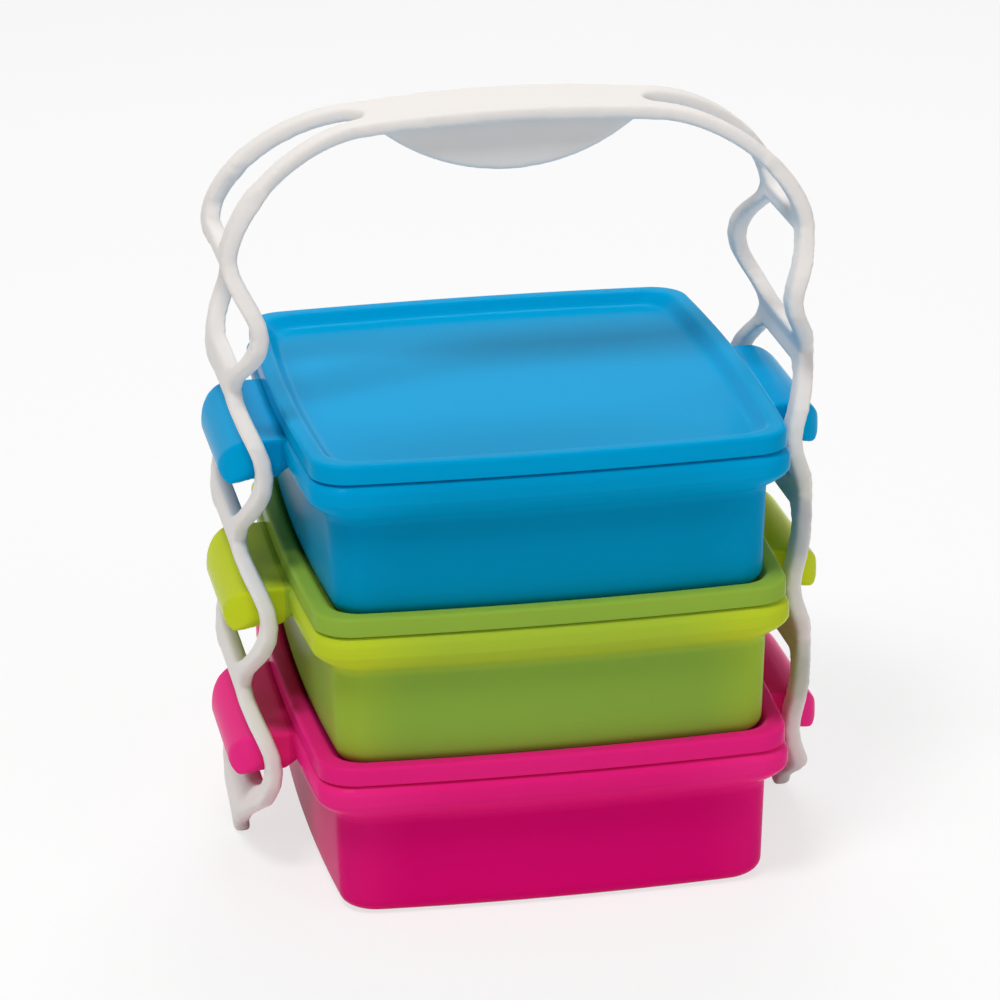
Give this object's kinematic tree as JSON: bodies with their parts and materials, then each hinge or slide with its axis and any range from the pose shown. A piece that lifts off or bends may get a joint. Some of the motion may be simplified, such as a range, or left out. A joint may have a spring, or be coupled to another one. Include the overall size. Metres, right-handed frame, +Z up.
{
  "type": "tiffin carrier",
  "caption": "Stack of square-round food boxes with press-on tray lids and side tabs, hung in the eyes of a white moulded carrier with an arched grip.",
  "frame": {"origin": "middle of the bottom box's base, on the surface it stands on", "axes": "+X across the carrier towards the right strap, +Y from front to back, +Z up"},
  "size_m": [0.208, 0.182, 0.2599],
  "materials": {
    "pink_box": "satin",
    "pink_lid": "glossy",
    "green_box": "satin, faintly translucent",
    "green_lid": "glossy, faintly translucent",
    "blue_box": "satin",
    "blue_lid": "glossy",
    "white_carrier": "satin"
  },
  "bodies": {
    "pink_container": {"pink_container": "pink_box"},
    "pink_lid": {"pink_lid": "pink_lid"},
    "green_container": {"green_container": "green_box"},
    "green_lid": {"green_lid": "green_lid"},
    "blue_container": {"blue_container": "blue_box"},
    "blue_lid": {"blue_lid": "blue_lid"},
    "grip": {"grip": "white_carrier"},
    "left_strap": {"left_strap": "white_carrier"},
    "right_strap": {"right_strap": "white_carrier"}
  },
  "joints": [
    {"name": "pink_lid_lift", "type": "slide", "parent": "pink_container", "child": "pink_lid", "axis": [0, 0, 1], "range_m": [0, 0.012]},
    {"name": "green_container_lift", "type": "slide", "parent": "pink_lid", "child": "green_container", "axis": [0, 0, 1], "range_m": [0, 0.012]},
    {"name": "green_lid_lift", "type": "slide", "parent": "green_container", "child": "green_lid", "axis": [0, 0, 1], "range_m": [0, 0.012]},
    {"name": "blue_container_lift", "type": "slide", "parent": "green_lid", "child": "blue_container", "axis": [0, 0, 1], "range_m": [0, 0.012]},
    {"name": "blue_lid_lift", "type": "slide", "parent": "blue_container", "child": "blue_lid", "axis": [0, 0, 1], "range_m": [0, 0.06]},
    {"name": "carrier_lift", "type": "slide", "parent": "blue_container", "child": "grip", "axis": [0, 0, 1], "range_m": [0, 0.004]},
    {"name": "left_strap_flex", "type": "hinge", "parent": "grip", "child": "left_strap", "pos_m": [-0.08836, 0, 0.23653], "axis": [0, 1, 0], "range_deg": [0, 36], "stiffness_Nm_per_rad": 1.2},
    {"name": "right_strap_flex", "type": "hinge", "parent": "grip", "child": "right_strap", "pos_m": [0.08836, 0, 0.23653], "axis": [0, -1, 0], "range_deg": [0, 36], "stiffness_Nm_per_rad": 1.2}
  ],
  "couplings": [
    {"joint": "right_strap_flex", "follows": "left_strap_flex", "ratio": 1},
    {"joint": "pink_lid_lift", "follows": "left_strap_flex", "m_per_rad": 0.019},
    {"joint": "green_container_lift", "follows": "left_strap_flex", "m_per_rad": 0.019},
    {"joint": "green_lid_lift", "follows": "left_strap_flex", "m_per_rad": 0.019},
    {"joint": "blue_container_lift", "follows": "left_strap_flex", "m_per_rad": 0.019}
  ]
}
